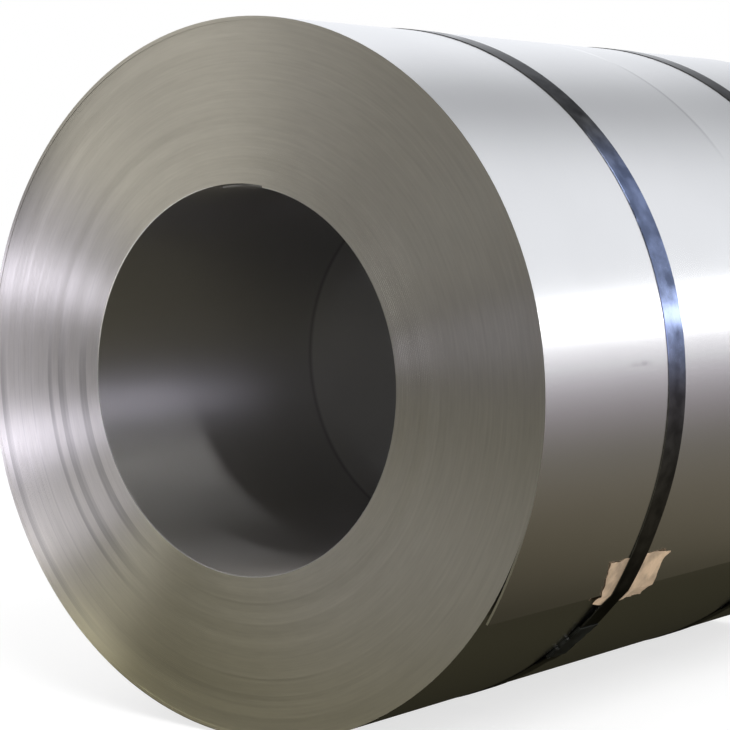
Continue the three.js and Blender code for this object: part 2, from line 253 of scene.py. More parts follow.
# Bare steel: colours, roughness, how strongly it is brushed round the coil, and its fine unevenness
END_COLOUR = (0.67, 0.65, 0.61)
END_ROUGHNESS = 0.33
END_BRUSHED = 0.97
SIDE_COLOUR = (0.66, 0.655, 0.65)
SIDE_ROUGHNESS = 0.24
SIDE_BRUSHED = 0.5
# The steel in the eye is darker than at the ends: painted shade
BORE_SHADE_COLOUR = (0.41, 0.4, 0.395)
BORE_ROUGHNESS = 0.48
BORE_BRUSHED = 0.95
BRUSHED_ROUND = 0.25
STEEL_CLOUD_SCALE = 2.2
STEEL_CLOUD_ROUGHNESS = 0.55
ROLL_LINE_SCALE = 420.0
RING_SCALE = 260.0
BAND_SCALE = 42.0
ARCS_ROUND = 9.0
ARCS_ACROSS = 170.0
FINE_TONE = 0.03
ARC_TONE = 0.035
FINE_ROUGHNESS = 0.02
BAND_ROUGHNESS = 0.012

# The oily coat on the inner wrap
OIL = 0.6
OIL_ROUGHNESS = 0.14
OIL_IOR = 2.0

# Painted shade between the wraps, on the lower left of each end only
# Dark rings on the ends: the noise that makes them, their tone and the turns between which they show
GROOVE_NOISE = (0.38, 0.47)
GROOVE_SHADE = -0.3
GROOVE_PALE = 0.03
GROOVES_COME = (-0.43, -0.36)
GROOVES_GO = (-0.27, -0.21)

# Outermost wraps: painted shade at the upper left, painted highlight at the lower left, as turns
# and changes of tone
EDGE_FROM = 490 * MM
EDGE_TO = 550 * MM
EDGE_SHADE_AT = -0.15
EDGE_SHADE_HALF = 0.085
EDGE_SHADE = -0.42
EDGE_HIGHLIGHT_AT = -0.44
EDGE_HIGHLIGHT_HALF = 0.14
EDGE_HIGHLIGHT = 0.55

# Painted shade: a darker fan across each end
FAN_AT = 0.222
FAN_HALF = 0.038
FAN_SHADE = -0.2

# Painted shade: the ends are a little darker and yellower towards the floor
FOOT_SHADE_HEIGHT = 0.36
FOOT_SHADE_TINT = (0.87, 0.85, 0.7)

# Faint line round the outside: painted highlight at the top, painted shade on both sides below it,
# and paler steel past it as a painted reflection
LINE_AT = 0.07
LINE_HALF = 9 * MM
LINE_HIGHLIGHT = 0.2
LINE_HIGHLIGHT_GOES = (0.05, 0.08)
LINE_SHADE = -0.2
LINE_GOES = (0.115, 0.15)
LINE_REFLECTION_STEP = 0.1
LINE_FADE = 0.25

# Smudge on the side: place along X and turn, half widths, grain and change of tone
SMUDGE_X = -0.393
SMUDGE_HALF_X = 42 * MM
SMUDGE_TURN = 0.2394
SMUDGE_HALF_TURN = 0.0019
SMUDGE_GRAIN_SCALE = 110.0
SMUDGE_THIN = 0.3
SMUDGE_TONE = -0.22

# Painted shade: a faint dark ring inside the eye, with paler steel past it as a painted reflection
BORE_LINE_AT = -0.11
BORE_LINE_HALF = 9 * MM
BORE_LINE_SHADE = -0.28
BEYOND_LINE_REFLECTION = 0.2

# Painted highlight: the innermost wrap's sheared edge is palest from the left of the eye to its top,
# with painted shade round the rest
RIM_COLOUR = (0.8, 0.78, 0.74)
RIM_METALLIC = 0.35
RIM_ROUGHNESS = 0.55
RIM_HIGHLIGHT_FROM = (-0.26, -0.16)
RIM_HIGHLIGHT_TO = (0.0, 0.1)
RIM_SHADE = 0.32

# Straps, seals, the strip's inner end in painted shade, and the tape: how cloudy, how rough and
# what colour
PAINT_CLOUD_SCALE = 30.0
PAINT_CLOUD_TONE = 0.3
PAINT_SMOOTHER = 0.05
PAINT_ROUGHER = 0.08
DARK_EDGE_ON = (0.42, 0.42, 0.42, 1)
STRAP_COLOUR = (0.115, 0.115, 0.118)
STRAP_ROUGHNESS = 0.15
SEAL_COLOUR = (0.055, 0.057, 0.05)
SEAL_ROUGHNESS = 0.5
SEAL_METALLIC = 0.8
HEAD_SHADE_COLOUR = (0.085, 0.083, 0.076)
HEAD_ROUGHNESS = 0.6
TAPE_COLOUR = (0.47, 0.34, 0.22)
TAPE_ROUGHNESS = 0.85

# Painted reflection on the straps, bluish: turns between which it comes and goes, and its colour
BLUE_REFLECTION_COMES = (0.12, 0.16)
BLUE_REFLECTION_GOES = (0.225, 0.26)
BLUE_REFLECTION = (0.15, 0.18, 0.28)


def coil_coordinates(n):
    """A place, its X, its radius and its turn: 0 at the top, clockwise to 0.5, the other way to -0.5."""
    at = n.add("TexCoord").outputs["Object"]
    x, y, z = n.add("SeparateXYZ", {0: at}).outputs
    across = n.minus(AXIS_Y, y)
    up = n.minus(z, AXIS_Z)
    radius = n.math("SQRT", n.plus(n.times(across, across), n.times(up, up)))
    turn = n.math("DIVIDE", n.math("ARCTAN2", across, up), math.tau)
    return at, x, radius, turn


def arc_space(n, at, radius):
    """Coordinates in which noise makes short arcs: slow round the coil, fast across its wraps."""
    y, z = n.add("SeparateXYZ", {0: at}).outputs[1:]
    across = n.math("DIVIDE", n.minus(y, AXIS_Y), radius)
    up = n.math("DIVIDE", n.minus(z, AXIS_Z), radius)
    sweep_y, sweep_z = n.times(across, ARCS_ROUND), n.times(up, ARCS_ROUND)
    wraps = n.times(radius, ARCS_ACROSS)
    return n.add("CombineXYZ", {0: sweep_y, 1: wraps, 2: sweep_z}).outputs[0]


def bump_at(n, value, middle, half):
    """1 at the middle, 0 beyond the half width, smooth between."""
    off = n.math("ABSOLUTE", n.minus(value, middle))
    return n.range(off, 0.0, half, 1.0, 0.0, True)


def bump_round(n, turn, middle, half):
    """The same for a turn, where the bump may run past the bottom of the coil."""
    off = n.math("ABSOLUTE", n.minus(turn, middle))
    off = n.math("MINIMUM", off, n.minus(1.0, off))
    return n.range(off, 0.0, half, 1.0, 0.0, True)


def edge_highlight_and_shade(n, radius, turn):
    """Painted shade on the outermost wraps at the upper left, painted highlight at the lower left."""
    edge_shade = n.times(bump_round(n, turn, EDGE_SHADE_AT, EDGE_SHADE_HALF), EDGE_SHADE)
    edge_highlight = n.times(bump_round(n, turn, EDGE_HIGHLIGHT_AT, EDGE_HIGHLIGHT_HALF), EDGE_HIGHLIGHT)
    tone = n.plus(edge_shade, edge_highlight)
    return n.times(tone, n.range(radius, EDGE_FROM, EDGE_TO, 0.0, 1.0, True))


def bore_ring_shade(n, x):
    """Painted shade along a faint ring inside the eye, with the steel past it painted a little paler."""
    line = n.times(bump_at(n, x, BORE_LINE_AT, BORE_LINE_HALF), BORE_LINE_SHADE)
    beyond = n.range(x, BORE_LINE_AT, BORE_LINE_AT + BORE_LINE_HALF, 0.0, BEYOND_LINE_REFLECTION)
    return n.plus(line, beyond)


def line_light_and_smudge(n, at, x, turn):
    """Painted light and shade along a faint line round the top of the coil, and a smudge on its side."""
    top = n.math("ABSOLUTE", turn)
    # Painted highlight at the top, painted shade below it and paler steel past it
    line = bump_at(n, x, LINE_AT, LINE_HALF)
    pale = n.times(line, n.range(top, *LINE_HIGHLIGHT_GOES, LINE_HIGHLIGHT, 0.0, True))
    fading = n.range(x, LINE_AT, LINE_FADE, LINE_REFLECTION_STEP, 0.0)
    beyond = n.times(n.range(x, LINE_AT, LINE_AT + LINE_HALF, 0.0, 1.0), fading)
    dark = n.plus(n.times(line, LINE_SHADE), beyond)
    dark = n.times(dark, n.range(top, *LINE_GOES, 1.0, 0.0, True))
    dark = n.times(dark, n.range(top, *LINE_HIGHLIGHT_GOES, 0.0, 1.0, True))
    along = bump_at(n, x, SMUDGE_X, SMUDGE_HALF_X)
    blot = n.times(along, bump_at(n, turn, SMUDGE_TURN, SMUDGE_HALF_TURN))
    grain = n.range(n.noise(at, SMUDGE_GRAIN_SCALE, detail=3.0), *GRAIN_NOISE, SMUDGE_THIN, 1.0)
    smudge = n.times(n.times(blot, grain), SMUDGE_TONE)
    return n.plus(n.plus(pale, dark), smudge)


def end_tones(n, at, radius, turn):
    """Tone, painted shade and highlight, and change of roughness over the cut edges of the wraps."""
    rings = n.noise_along(radius, RING_SCALE, detail=5.0)
    bands = n.noise_along(radius, BAND_SCALE, detail=3.0)
    arcs = n.range(n.noise(arc_space(n, at, radius), 1.0, detail=3.0), *NOISE, -ARC_TONE, ARC_TONE)
    tone = n.plus(n.range(rings, *NOISE, 1 - FINE_TONE, 1 + FINE_TONE), arcs)
    # Painted shade: dark rings between the wraps on the lower left
    groove_shade = n.range(bands, *GROOVE_NOISE, GROOVE_SHADE, GROOVE_PALE, True)
    groove_shade = n.times(groove_shade, n.window(turn, GROOVES_COME, GROOVES_GO))
    tone = n.plus(n.plus(tone, groove_shade), edge_highlight_and_shade(n, radius, turn))
    # Painted shade: a darker fan across the end
    tone = n.plus(tone, n.times(bump_round(n, turn, FAN_AT, FAN_HALF), FAN_SHADE))
    rough = n.range(bands, *BAND_NOISE, -BAND_ROUGHNESS, BAND_ROUGHNESS)
    return tone, n.plus(rough, n.range(rings, *NOISE, -FINE_ROUGHNESS, FINE_ROUGHNESS))


def steel(name, colour, roughness, brushed, end_face=False, oil=0.0):
    """Steel brushed round the coil, with the bore's painted shade if oiled, and else the outside's marks.
    """
    n = Nodes(bpy.data.materials.new(name))
    at, x, radius, turn = coil_coordinates(n)
    metal = {"Metallic": 1.0, "Anisotropic": brushed, "Anisotropic Rotation": BRUSHED_ROUND}
    coat = {"Coat Weight": oil, "Coat Roughness": OIL_ROUGHNESS, "Coat IOR": OIL_IOR}
    tangent = n.add("Tangent", direction_type="RADIAL", axis="X").outputs[0]
    shader = n.add("BsdfPrincipled", {**metal, **coat, "Tangent": tangent})
    if end_face:
        tone, change = end_tones(n, at, radius, turn)
        rough = n.plus(change, roughness)
        height = n.add("SeparateXYZ", {0: at}).outputs[2]
        # Painted shade: darker and yellower towards the floor
        foot = n.range(height, 0.0, FOOT_SHADE_HEIGHT, 1.0, 0.0, True)
        tint = n.mix(foot, n.shaded(colour, tone), (*FOOT_SHADE_TINT, 1), "MULTIPLY")
    else:
        cloud = n.noise(at, STEEL_CLOUD_SCALE, detail=4.0, roughness=STEEL_CLOUD_ROUGHNESS)
        tone = n.range(cloud, *NOISE, 1 - FINE_TONE, 1 + FINE_TONE)
        tone = n.plus(tone, bore_ring_shade(n, x) if oil else line_light_and_smudge(n, at, x, turn))
        lines = n.noise_along(x, ROLL_LINE_SCALE, detail=4.0)
        rough = n.range(lines, *NOISE, roughness - FINE_ROUGHNESS, roughness + FINE_ROUGHNESS)
        tint = n.shaded(colour, tone)
    n.feed(shader.inputs["Base Color"], tint)
    n.feed(shader.inputs["Roughness"], rough)
    return n.surface(shader)


def sheared_rim():
    """The innermost wrap's sheared edge, a painted highlight paler than the steel, shaded round its foot.
    """
    n = Nodes(bpy.data.materials.new("sheared_rim"))
    turn = coil_coordinates(n)[3]
    tint = n.shaded(RIM_COLOUR, n.window(turn, RIM_HIGHLIGHT_FROM, RIM_HIGHLIGHT_TO, RIM_SHADE))
    inputs = {"Base Color": tint, "Metallic": RIM_METALLIC, "Roughness": RIM_ROUGHNESS}
    return n.surface(n.add("BsdfPrincipled", inputs))


def painted(name, colour, roughness, metallic=0.0, reflection=None):
    """A cloudy surface of one colour; if given, a painted reflection of another over part of the turn."""
    n = Nodes(bpy.data.materials.new(name))
    at, _, _, turn = coil_coordinates(n)
    cloud = n.noise(at, PAINT_CLOUD_SCALE, detail=5.0)

    def clouded(plain):
        dark = tuple(v * (1 - PAINT_CLOUD_TONE) for v in plain)
        pale = tuple(min(1, v * (1 + PAINT_CLOUD_TONE)) for v in plain)
        return n.ramp(cloud, (CLOUD_NOISE[0], dark), (CLOUD_NOISE[1], pale))

    tint = clouded(colour)
    if reflection:
        # Painted reflection: a bluish tint over part of the turn
        tint = n.mix(n.window(turn, BLUE_REFLECTION_COMES, BLUE_REFLECTION_GOES), tint, clouded(reflection))
    shader = n.add("BsdfPrincipled", {"Base Color": tint, "Metallic": metallic})
    if metallic:
        shader.inputs["Specular Tint"].default_value = DARK_EDGE_ON
    rough = n.range(cloud, *NOISE, roughness - PAINT_SMOOTHER, roughness + PAINT_ROUGHER)
    n.feed(shader.inputs["Roughness"], rough)
    return n.surface(shader)


end_steel = steel("cut_strip_edges", END_COLOUR, END_ROUGHNESS, END_BRUSHED, end_face=True)
side_steel = steel("rolled_strip", SIDE_COLOUR, SIDE_ROUGHNESS, SIDE_BRUSHED)
bore_steel = steel("inner_wrap", BORE_SHADE_COLOUR, BORE_ROUGHNESS, BORE_BRUSHED, oil=OIL)
strap_paint = painted("black_strap", STRAP_COLOUR, STRAP_ROUGHNESS, metallic=1.0, reflection=BLUE_REFLECTION)
seal_paint = painted("seal_steel", SEAL_COLOUR, SEAL_ROUGHNESS, metallic=SEAL_METALLIC)
rim_steel = sheared_rim()
# Painted shade: the strip's inner end is dark
head_shade = painted("shaded_head", HEAD_SHADE_COLOUR, HEAD_ROUGHNESS)
tape_paper = painted("paper_tape", TAPE_COLOUR, TAPE_ROUGHNESS)

# ---- The coil ----

# Points round each wrap
STATIONS = 192
STEP = 360 / STATIONS
HEAD_TO_TAIL = (TAIL_CLOCK - HEAD_CLOCK) % 360 / 360
WHOLE_WRAPS = round((OUTER_R - BORE_R) / STRIP - HEAD_TO_TAIL)
WRAP = (OUTER_R - BORE_R) / (WHOLE_WRAPS + HEAD_TO_TAIL)
WRAP_TILT = 0.09 * MM
WRAP_TILT_SPREAD = 0.03 * MM
WRAP_WANDER = 0.02 * MM
RIM_CHAMFER = 1.1 * MM
HEAD_TILT = -0.9 * MM
TAIL_TILT = 1.2 * MM
SOFT_WANDER = 0.12
SOFT_TELESCOPE = 0.55
LAST_WRAP_PROUD = 0.5 * MM
INSET = 0.5 * MM
SHRINK = 0.15 * MM
WRAP_SEED = 7
# Wraps past the whole ones that also have a tilt, for the last part of the strip
SPARE_WRAPS = 3
# Where the head's own tilt fades, as shares of the angle that it hangs over
HEAD_TILT_FADES = (0.6, 1.2)
# Turns over which the eye's chamfer comes and goes
CHAMFER_COMES = (0.01, 0.03)
CHAMFER_GOES = (0.97, 1)
# Materials of the coil, in the order of its slots
END, SIDE, BORE, RIM, HEAD = range(5)


def band_shift(radius):
    """How far the wraps at a radius stand out of the near end: the CAD's bands, run together."""
    band = (np.asarray(radius) - BORE_R) * BAND_COUNT / (OUTER_R - BORE_R)
    wander = SOFT_WANDER * BAND_WANDER * np.sin(band * WANDER_PHASE) * np.cos(band * WANDER_BEAT_PHASE)
    telescope = np.maximum(0, 1 - band / TELESCOPED_BANDS) ** TELESCOPE_POWER
    return wander + SOFT_TELESCOPE * INNER_TELESCOPE * telescope


def tail_lift(turned):
    """How far the sprung end of the strip stands off the wrap under it."""
    return TAIL_LIFT * np.clip((np.asarray(turned) - 360) / TAIL_SPRING_ANGLE + 1, 0, 1) ** 2


def head_lift(turned):
    """How far the inner end of the strip hangs off the wrap round it."""
    return HEAD_LIFT * (1 - ease(turned, 0, HEAD_LIFT_ANGLE)) ** LIFT_POWER


def build_coil():
    rng = np.random.default_rng(WRAP_SEED)
    tail_turn = (TAIL_CLOCK - HEAD_CLOCK) / 360 + WHOLE_WRAPS
    last = round(tail_turn * STATIONS)
    i = np.arange(last + 1)
    turns = i / STATIONS
    clock = HEAD_CLOCK + turns * 360
    radius = BORE_R + WRAP * turns
    lift = tail_lift((turns - turns[-1] + 1) * 360) - head_lift(turns * 360)
    inner = radius + lift
    outer = radius + WRAP + lift
    outer[-STATIONS - 1 :] -= SHRINK
    wraps = WHOLE_WRAPS + SPARE_WRAPS
    tilt = WRAP_TILT + WRAP_TILT_SPREAD * rng.uniform(-1, 1, wraps)
    tilt[WHOLE_WRAPS - 1 :] = WRAP_TILT
    wander = WRAP_WANDER * rng.uniform(-1, 1, wraps) - INSET
    wander[WHOLE_WRAPS - 1 :] += LAST_WRAP_PROUD
    whole = turns.astype(int)
    part = ease(turns - whole, 0, 1)
    tilt_at = tilt[whole] * (1 - part) + tilt[whole + 1] * part
    wander_at = wander[whole] * (1 - part) + wander[whole + 1] * part
    head = 1 - ease(turns * 360, *(HEAD_LIFT_ANGLE * share for share in HEAD_TILT_FADES))
    tail = ease((turns - turns[-1]) * 360, -TAIL_SPRING_ANGLE, -TAIL_SPRING_ANGLE / 2)
    tilt_at = tilt_at * (1 - head - tail) + HEAD_TILT * head + TAIL_TILT * tail
    chamfer = RIM_CHAMFER * ease(turns, *CHAMFER_COMES) * (1 - ease(turns, *CHAMFER_GOES))
    shift = band_shift(radius + WRAP / 2)
    vertices = []
    for side in (-1, 1):
        x = side * STRIP_WIDTH / 2 - shift
        proud = side * (tilt_at / 2)
        vertices.append(place(x + proud + side * wander_at, inner + chamfer, clock))
        vertices.append(place(x - proud + side * wander_at, outer, clock))
    for side in (-1, 1):
        eye = slice(0, STATIONS + 1)
        x = side * (STRIP_WIDTH / 2 - chamfer + tilt_at / 2 + wander_at) - shift
        vertices.append(place(x[eye], inner[eye], clock[eye]))
    count = last + 1
    near_eye, far_eye = 4 * count, 4 * count + STATIONS + 1
    near_in, near_out, far_in, far_out = (k * count for k in range(4))
    faces, kinds = [], []

    def add_faces(block, kind, flip):
        faces.append(block[:, ::-1] if flip else block)
        kinds.append(np.full(len(block), kind))

    def band(low, high, steps, kind, flip=False):
        """Faces between two rows of points, from each of the steps to the next."""
        add_faces(np.stack([low + steps, low + steps + 1, high + steps + 1, high + steps], -1), kind, flip)

    def strip_end(at, flip=False):
        add_faces(np.array([[near_in + at, near_out + at, far_out + at, far_in + at]]), END, flip)

    tail_slit = int(TAIL_SPRING_ANGLE / STEP)
    head_slit = int(HEAD_LIFT_ANGLE / STEP)
    edge = np.arange(last)
    band(near_in, near_out, edge, np.where(edge < head_slit, HEAD, END), True)
    band(far_in, far_out, edge, np.where(edge < head_slit, HEAD, END))
    between_wraps = np.arange(head_slit, last - STATIONS - tail_slit)
    band(near_out, near_in + STATIONS, between_wraps, END, True)
    band(far_out, far_in + STATIONS, between_wraps, END)
    band(near_out, far_out, np.arange(last - STATIONS, last), SIDE, True)
    sprung = np.arange(last - tail_slit, last)
    band(near_in, far_in, sprung, SIDE)
    band(near_out - STATIONS, far_out - STATIONS, sprung, SIDE, True)
    eye = np.arange(STATIONS)
    band(near_eye, far_eye, eye, BORE)
    band(near_in, near_eye, eye, np.where(eye < head_slit, HEAD, RIM))
    band(far_in, far_eye, eye, np.where(eye < head_slit, HEAD, RIM), True)
    hanging = np.arange(head_slit)
    band(near_out, far_out, hanging, BORE, True)
    band(near_in + STATIONS, far_in + STATIONS, hanging, BORE)
    strip_end(last, True)
    strip_end(0)
    return dress(
        "coil",
        np.concatenate(vertices),
        np.concatenate(faces),
        [end_steel, side_steel, bore_steel, rim_steel, head_shade],
        "bare_steel",
        face_material=np.concatenate(kinds),
        sharp=COIL_SHARP,
    )


build_coil()

# ---- What the straps and the tape lie on ----

GAP = 0.12 * MM
GAP_TO_TAPE = 0.1 * MM
FLOOR_GAP = 0.05 * MM
STRAP_LOOK_THICKNESS = STRAP_THICKNESS - 0.1 * MM
TAPE_LOOK_THICKNESS = 0.5 * MM
TAPE_LOOK_LIFT = TAPE_LOOK_THICKNESS + GAP_TO_TAPE
EDGE_ROUND = 0.35 * MM
CROWN = 0.06 * MM
SEAL_STATIONS = 56
# Degrees within which two stations of a strap count as one
SAME_STATION = 0.1
# Degrees past the tail where the taut line closes, and the stations whose radius it has there
CLOSING_TURNED = (365, 370)
CLOSING_STATIONS = [2, 5]
# Degrees past the tail within which it is looked up past the full turn, as far as it runs there
SEAM_OVERLAP = 20
SAG_SAMPLES = 41
SEAL_CLOCK = TAIL_CLOCK + arc_angle(SEAL_BELOW_TAIL)
SEAL_FROM = SEAL_CLOCK - arc_angle(SEAL_LENGTH / 2)
SEAL_TO = SEAL_CLOCK + arc_angle(SEAL_LENGTH / 2)
TAPE_FROM = TAIL_CLOCK - arc_angle(TAPE_ABOVE_TAIL)
TAPE_TO = TAIL_CLOCK + arc_angle(TAPE_BELOW_TAIL)
RAMP = arc_angle(STRAP_RAMP)


def coil_radius(clock):
    """Radius of the coil's outside without the lift of its tail."""
    return OUTER_R + WRAP * ((np.asarray(clock, float) - TAIL_CLOCK) % 360) / 360


def taut_outline():
    """Corners of a taut line round the coil: degrees past the tail, and two coordinates from the axis.

    Two corners past the full turn close the line.
    """
    turned = np.linspace(0, 360, STATIONS + 1)
    radius = OUTER_R + WRAP * turned / 360 + tail_lift(turned) - SHRINK
    corners = []
    for t, r in zip([*turned, *CLOSING_TURNED], [*radius, *radius[CLOSING_STATIONS]]):
        point = (t, r * math.cos(math.radians(t)), r * math.sin(math.radians(t)))
        while len(corners) > 1:
            (_, ax, ay), (_, bx, by) = corners[-2:]
            if (bx - ax) * (point[2] - ay) - (by - ay) * (point[1] - ax) > 0:
                break
            corners.pop()
        corners.append(point)
    return np.array(corners)


TAUT = taut_outline()


def taut_radius(clock):
    """Radius of the taut line at clock positions."""
    turned = (np.atleast_1d(np.asarray(clock, float)) - TAIL_CLOCK) % 360
    turned = np.where(turned < TAUT[0, 0] + SEAM_OVERLAP, turned + 360, turned)
    base = np.where(turned > TAUT[-1, 0], turned - 360, turned)
    i = np.clip(np.searchsorted(TAUT[:, 0], base, side="right") - 1, 0, len(TAUT) - 2)
    ax, ay = TAUT[i, 1], TAUT[i, 2]
    ex, ey = TAUT[i + 1, 1] - ax, TAUT[i + 1, 2] - ay
    a = np.radians(base)
    return (ax * ey - ay * ex) / (np.cos(a) * ey - np.sin(a) * ex)


def on_tape(clock):
    """Share of the tape's lift at clock positions."""
    return ease(clock, TAPE_FROM - RAMP, TAPE_FROM) - ease(clock, TAPE_TO, TAPE_TO + RAMP)


def bed_radius(clock, over_tape):
    """Radius of what a strap lies on."""
    return taut_radius(clock) + (TAPE_LOOK_LIFT * on_tape(np.asarray(clock) % 360) if over_tape else 0)


def flat_point(radius, clock):
    """Point of the Y-Z plane, from the coil's axis."""
    a = np.radians(clock)
    return np.stack([-radius * np.sin(a), radius * np.cos(a)], -1)


def seal_sag(over_tape):
    """How far the bed bulges above the straight line between the seal's two ends."""
    clock = np.linspace(SEAL_FROM, SEAL_TO, SAG_SAMPLES)
    bed = flat_point(bed_radius(clock, over_tape), clock)
    along = (bed[-1] - bed[0]) / np.linalg.norm(bed[-1] - bed[0])
    out = np.array([along[1], -along[0]])
    height = (bed - bed[0]) @ out
    return np.abs(height).max()


def strap_radius(clock, over_tape):
    """Radius of the underside of a strap's lower layer."""
    place_now = np.asarray(clock) % 360
    rise = SEAL_THICKNESS + GAP + seal_sag(over_tape)
    seal = ease(place_now, SEAL_FROM - RAMP, SEAL_FROM) - ease(place_now, SEAL_TO, SEAL_TO + RAMP)
    return bed_radius(clock, over_tape) + GAP + rise * seal


def pinch(share):
    """How far the crimper pushed the edges in, at shares of the seal's length."""
    bite = np.zeros_like(share)
    for i in range(CRIMP_COUNT):
        middle = (i + 1) / (CRIMP_COUNT + 1)
        bite = np.maximum(bite, 1 - np.abs(share - middle) * 2 * SEAL_LENGTH / CRIMP_LENGTH)
    return CRIMP_DEPTH * ease(bite, 0, 1)


def sweep(name, points, outs, sections, x, material, slot):
    """A closed section carried along points of the Y-Z plane; outs point away from the coil."""
    stations, count = sections.shape[:2]
    flat = points[:, None] + outs[:, None] * sections[:, :, 1:]
    along_x = AXIS_X + x + sections[:, :, 0]
    world = np.stack([along_x, AXIS_Y + flat[..., 0], np.maximum(AXIS_Z + flat[..., 1], FLOOR_GAP)], -1)
    i, j = np.meshgrid(np.arange(stations - 1) * count, np.arange(count), indexing="ij")
    k = (j + 1) % count
    sides = np.stack([i + j, i + k, i + count + k, i + count + j], -1).reshape(-1, 4)
    caps = [list(range(count))[::-1], [(stations - 1) * count + c for c in range(count)]]
    return dress(name, world.reshape(-1, 3), [*sides, *caps], [material], slot, sharp=STRAP_SHARP)


def strap_section(half):
    """Outline of a strap's section for each half width, with rolled edges and a slight crown."""
    r, t = EDGE_ROUND, STRAP_LOOK_THICKNESS
    shape = [(-1, -r, 0), (-1, 0, r), (-1, 0, t - r), (-1, -r, t), (-0.5, 0, t + CROWN), (0, 0, t + CROWN)]
    shape += [(0.5, 0, t + CROWN), (1, -r, t), (1, 0, t - r), (1, 0, r), (1, -r, 0)]
    side = np.array([a for a, _, _ in shape])
    inset = np.array([b for _, b, _ in shape])
    height = np.array([c for _, _, c in shape])
    across = side * half[:, None] + np.sign(side) * inset
    return np.stack([across, np.broadcast_to(height, across.shape)], -1)


def build_strap(name, x, over_tape, material):
    """Strap from its lower end, once round, to its upper end that laps over the lower one."""
    lap = arc_angle(STRAP_END_LAP)
    start = SEAL_CLOCK - lap / 2
    end = start + 360 + lap
    upper_start = start + 360
    grid = np.arange(start + STEP / 2, end, STEP / 2)
    place_now = grid % 360
    free = (place_now < SEAL_FROM - SAME_STATION) | (place_now > SEAL_TO + SAME_STATION)
    parts = []

    def run(clock):
        above = (STRAP_LOOK_THICKNESS + GAP) * ease(clock, upper_start - RAMP, upper_start)
        return flat_point(strap_radius(clock, over_tape) + above, clock)

    for low, high in ((start, SEAL_FROM), (SEAL_TO, SEAL_FROM + 360), (SEAL_TO + 360, end)):
        inner = grid[free & (grid > low + SAME_STATION) & (grid < high - SAME_STATION)]
        clock = np.array([low, *inner, high])
        parts.append((run(clock), np.full(len(clock), STRAP_WIDTH / 2)))
    share = np.linspace(0, 1, SEAL_STATIONS)[1:-1]
    points, halves = [], []
    for i, (path, half) in enumerate(parts):
        points.append(path)
        halves.append(half)
        if i < 2:
            first, last = path[-1], parts[i + 1][0][0]
            points.append(first + (last - first) * share[:, None])
            halves.append(STRAP_WIDTH / 2 - pinch(share))
    points = np.concatenate(points)
    half = np.concatenate(halves)
    outs = points / np.linalg.norm(points, axis=1)[:, None]
    return sweep(name, points, outs, strap_section(half), x, material, "strap_steel")


def build_seal(name, x, over_tape, material):
    """Folded sleeve round both layers, its lips under the strap's edges, its sides crimped."""
    clock = np.array([SEAL_FROM, SEAL_TO])
    ends = flat_point(strap_radius(clock, over_tape), clock)
    chord = ends[1] - ends[0]
    spare = (np.linalg.norm(chord) - SEAL_LENGTH) / 2 / np.linalg.norm(chord)
    share = np.linspace(0, 1, SEAL_STATIONS)
    points = ends[0] + chord * (spare + (1 - 2 * spare) * share)[:, None]
    out = np.array([chord[1], -chord[0]]) / np.linalg.norm(chord)
    out = out if out @ points[0] > 0 else -out
    outs = np.broadcast_to(out, points.shape)
    half = STRAP_WIDTH / 2 + GAP - pinch(share)
    wall, lip, r = SEAL_THICKNESS, SEAL_FLANGE, EDGE_ROUND
    low, high = -GAP, 2 * STRAP_LOOK_THICKNESS + 2 * GAP + CROWN
    inside = [(lip, low), (0, low), (0, high)]
    outside = [(0, high + wall), (r - wall, high + wall), (-wall, high + wall - r)]
    outside += [(-wall, low - wall + r), (r - wall, low - wall), (lip, low - wall)]
    outline = [(-1, *point) for point in inside] + [(1, *point) for point in inside[::-1] + outside[::-1]]
    outline += [(-1, *point) for point in outside]
    across = np.stack([side * (half - inset) for side, inset, _ in outline], 1)
    heights = [height for _, _, height in outline]
    sections = np.stack([across, np.broadcast_to(heights, across.shape)], -1)
    return sweep(name, points, outs, sections, x, material, "seal_steel")


build_strap("strap_1", NEAR_STRAP_X, True, strap_paint)
build_strap("strap_2", FAR_STRAP_X, False, strap_paint)
build_seal("strap_seal_1", NEAR_STRAP_X, True, seal_paint)
build_seal("strap_seal_2", FAR_STRAP_X, False, seal_paint)

# ---- Tape on the tail ----

TAPE_ROWS = 72
TAPE_COLUMNS = 108
TAPE_TEAR = 3.5 * MM
TAPE_CRUMPLE = 0.9 * MM
TAPE_LEAST_CRUMPLE = 0.2 * MM
TAPE_FINE_CRUMPLE = 0.35
TAPE_SAG = 5 * MM
TAPE_ABOVE_COIL = 1.5 * MM
TAPE_TRIM = 5 * MM
TAPE_SHORT = 8 * MM
TAPE_LOOK_CURL = 8 * MM
# Distances from the strap's edge between which the tape stops lying flat
TAPE_LOOSE = (3 * MM, 40 * MM)
# Share of the waist that the left edge has
LEFT_WAIST = 0.2
# In tears: how far the right edge stands out at its top and is rounded at its foot, and how far the
# foot rises at its left corner
RIGHT_TOP_OUT = 2.2
RIGHT_FOOT_ROUND = 4.5
LEFT_FOOT_RISE = 1.8
# Shares of the tape's length where the right edge's top and the curl end, and its foot and the sag begin
TOP_OUT_TO = 0.14
CURL_TO = 0.45
RIGHT_FOOT_FROM = 0.45
SAG_FROM = 0.62
# Place across, from -1 at the left edge to 1, where the foot begins to rise towards the left
LEFT_FOOT_FROM = -0.45
FOOT_ROUND_POWER = 1.5
CURL_POWER = 1.6
CURL_FADE_POWER = 1.3
# Torn edges: the middle and the raggedness of each, in tears, and the seed and cells of its ripple
RIGHT_TEAR = (0.6, 0.4, 3, 4)
LEFT_TEAR = (0.6, 0.4, 4, 5)
TOP_TEAR = (0.6, 0.5, 5, 3)
FOOT_TEAR = (0.8, 0.1, 6, 3)
